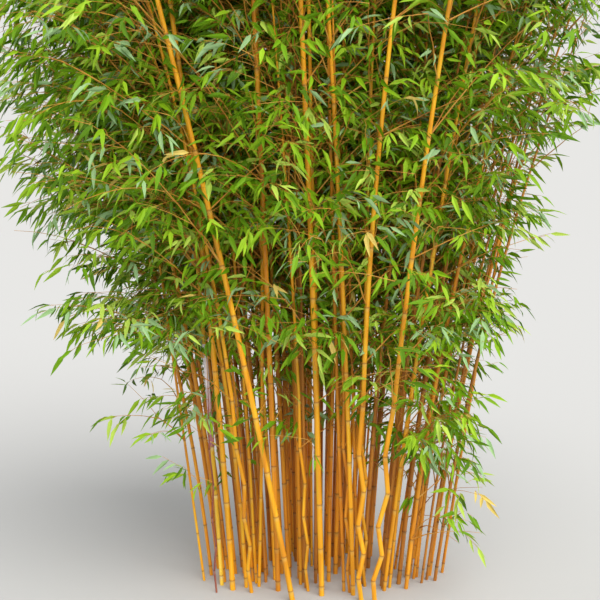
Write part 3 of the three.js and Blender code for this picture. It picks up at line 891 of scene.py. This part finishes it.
# Each tint, and the share of the sprigs that have it
LEAF_TINTS = {
    "leaves_deep": ("527A08", 0.17),
    "leaves_forest": ("6A980C", 0.2),
    "leaves_mid": ("7EA812", 0.2),
    "leaves_fresh": ("96BE26", 0.18),
    "leaves_light": ("ACC850", 0.1),
    # The pale blue-green tint is a painted sheen: it stands in for the sky's reflection on glossy leaves.
    "leaves_pale": ("98BC84", 0.135),
    "leaves_straw": ("DCC468", 0.015),
}


def leaf_blade(name, fold, arch, twist):
    """A leaf from its root at the origin to its tip on +X, its upper face up, in eight triangles."""
    ribs, edges = [], []
    for along, width in LEAF_STATIONS:
        sink = -arch * along ** 2 * LEAF_LENGTH
        ribs.append((along * LEAF_LENGTH, 0, sink))
        half = width * LEAF_WIDTH / 2
        if half:
            for side in (-1, 1):
                lean = twist * along * side
                edges.append((along * LEAF_LENGTH, side * half, sink + half * (fold + lean)))
    mesh = bpy.data.meshes.new(name)
    faces = [(0, 4, 1), (1, 4, 6, 2), (2, 6, 3), (0, 1, 5), (1, 2, 7, 5), (2, 3, 7)]
    mesh.from_pydata(ribs + edges, [], faces)
    layer = mesh.uv_layers.new(name="blade")
    for loop in mesh.loops:
        corner = mesh.vertices[loop.vertex_index].co
        layer.data[loop.index].uv = (0.5 + corner.y / LEAF_WIDTH, corner.x / LEAF_LENGTH)
    return bpy.data.objects.new(name, mesh)


def leaf_tree():
    """Leaves at every point of the sprigs, to either hand in turn and straight on at the end."""
    tree, given, result = new_tree(
        "leaves_on_sprigs", Leaves="Collection", Seed="Int", Spread_Least="Float", Spread_Most="Float",
        Droop_Least="Float", Droop_Most="Float", Roll_Most="Float", Size_Least="Float",
        Size_Most="Float", Finish="Material",
    )

    def vary(least, most, turn):
        """A number between two limits for each leaf, by its own turn of the seed."""
        return result_of(add_node(tree, "FunctionNodeRandomValue", {
            "Min": least, "Max": most, "Seed": number_of(tree, "ADD", given["Seed"], turn),
        }))

    lines = add_node(tree, "GeometryNodeMeshToCurve", {"Mesh": given["Geometry"]})
    along = result_of(add_node(tree, "GeometryNodeInputTangent"))
    across = vector_of(tree, "NORMALIZE", vector_of(tree, "CROSS_PRODUCT", along, (0, 0, 1)))
    odd = number_of(tree, "MODULO", result_of(add_node(tree, "GeometryNodeInputIndex")), 2.0)
    hand = number_of(tree, "MULTIPLY_ADD", odd, 2.0, -1.0)
    place = add_node(tree, "GeometryNodeSplineParameter").outputs["Factor"]
    before_end = number_of(tree, "LESS_THAN", place, END_OF_SPRIG)
    spread = vary(given["Spread_Least"], given["Spread_Most"], 1.0)
    aside = number_of(tree, "MULTIPLY", number_of(tree, "MULTIPLY", hand, before_end), spread)
    droop = vary(given["Droop_Least"], given["Droop_Most"], 2.0)
    heading = vector_of(
        tree, "ADD",
        vector_of(tree, "ADD", along, vector_of(tree, "SCALE", across, Scale=aside)),
        vector_of(tree, "SCALE", (0, 0, -1), Scale=droop),
    )
    pointing = add_node(tree, "FunctionNodeAlignRotationToVector", {"Vector": heading}, axis="X")
    face_up = add_node(tree, "FunctionNodeAlignRotationToVector", {
        "Rotation": result_of(pointing), "Vector": (0, 0, 1),
    }, axis="Z", pivot_axis="X")
    least_roll = number_of(tree, "MULTIPLY", given["Roll_Most"], -1.0)
    roll = add_node(tree, "FunctionNodeAxisAngleToRotation", {
        "Axis": (1, 0, 0), "Angle": vary(least_roll, given["Roll_Most"], 3.0),
    })
    rolled = add_node(tree, "FunctionNodeRotateRotation", {
        "Rotation": result_of(face_up), "Rotate By": result_of(roll),
    }, rotation_space="LOCAL")
    shapes = add_node(tree, "GeometryNodeCollectionInfo", {
        "Collection": given["Leaves"], "Separate Children": True, "Reset Children": True,
    })
    leaves = add_node(tree, "GeometryNodeInstanceOnPoints", {
        "Points": result_of(lines), "Instance": result_of(shapes), "Pick Instance": True,
        "Rotation": result_of(rolled), "Scale": vary(given["Size_Least"], given["Size_Most"], 4.0),
    })
    finish_tree(tree, result_of(leaves), given["Finish"], result)
    return tree


def leaf_finish(name, base):
    """Leaf: one plain tint, satin, with fine veins that run along the blade."""
    material, tree, shader = new_finish(name)
    shader.inputs["Base Color"].default_value = colour(base)
    shader.inputs["Specular IOR Level"].default_value = LEAF_GLOSS
    roughen(tree, shader, LEAF_WEAR, *LEAF_ROUGHNESS)
    blade = add_node(tree, "ShaderNodeUVMap", uv_map="blade")
    across = add_node(tree, "ShaderNodeSeparateXYZ", {"Vector": blade.outputs["UV"]}).outputs["X"]
    wave = number_of(tree, "SINE", number_of(tree, "MULTIPLY", across, TURN * LEAF_VEINS))
    emboss(tree, shader, wave, VEIN_STRENGTH, VEIN_DEPTH)
    return material


blades = bpy.data.collections.new("leaf_blades")
for name, (fold, arch, twist) in LEAF_SHAPES.items():
    blades.objects.link(leaf_blade(name, fold, arch, twist))
LEAVES = leaf_tree()
dealt = 0.0
for number, (name, (base, share)) in enumerate(LEAF_TINTS.items()):
    lines = [line for line, lot in sprigs if dealt <= lot < dealt + share]
    dealt += share
    piece = grown(
        name, lines_mesh(name, lines), LEAVES, Leaves=blades, Seed=number, Spread_Least=LEAF_SPREAD[0],
        Spread_Most=LEAF_SPREAD[1], Droop_Least=LEAF_DROOP[0], Droop_Most=LEAF_DROOP[1],
        Roll_Most=LEAF_ROLL, Size_Least=LEAF_SIZE[0], Size_Most=LEAF_SIZE[1],
        Finish=leaf_finish(name, base),
    )
    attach(piece, "root")
    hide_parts(*foliage_nodes)
for blade in list(blades.objects):
    bpy.data.objects.remove(blade)
bpy.data.collections.remove(blades)

# Studio: a plain pale floor that runs out into a plain pale sky, and one broad soft sun from the
# upper right in front.
FLOOR_HALF = 400
FLOOR_DROP = 0.0005
FLOOR_TONE = (0.474, 0.48, 0.493, 1)
FLOOR_ROUGHNESS = 0.9
SKY_TONE = (0.81, 0.805, 0.785, 1)
SUN_STRENGTH = 3.6
SUN_TONE = (1.0, 0.97, 0.9)
SUN_WIDTH = math.radians(60)
SUN_FROM = Vector((0.5, -0.9, 1.3))

floor_mesh = bpy.data.meshes.new("floor")
floor_mesh.from_pydata(
    [(x * FLOOR_HALF, y * FLOOR_HALF, -FLOOR_DROP) for x, y in ((-1, -1), (1, -1), (1, 1), (-1, 1))],
    [], [(0, 1, 2, 3)],
)
floor = bpy.data.objects.new("floor", floor_mesh)
bpy.context.scene.collection.objects.link(floor)
floor_paint, _, floor_shader = new_finish("floor_paint")
floor_shader.inputs["Base Color"].default_value = FLOOR_TONE
floor_shader.inputs["Roughness"].default_value = FLOOR_ROUGHNESS
floor_shader.inputs["Specular IOR Level"].default_value = 0.0
floor_mesh.materials.append(floor_paint)

world = bpy.data.worlds.new("sky")
world.use_nodes = True
sky = next(n for n in world.node_tree.nodes if n.type == "BACKGROUND")
sky.inputs["Color"].default_value = SKY_TONE
bpy.context.scene.world = world

sun_light = bpy.data.lights.new("broad_sun", "SUN")
sun_light.energy = SUN_STRENGTH
sun_light.angle = SUN_WIDTH
sun_light.color = SUN_TONE
sun = bpy.data.objects.new("broad_sun", sun_light)
sun.rotation_euler = (-SUN_FROM).to_track_quat("-Z", "Y").to_euler()
bpy.context.scene.collection.objects.link(sun)
bpy.context.scene.view_settings.view_transform = "Standard"
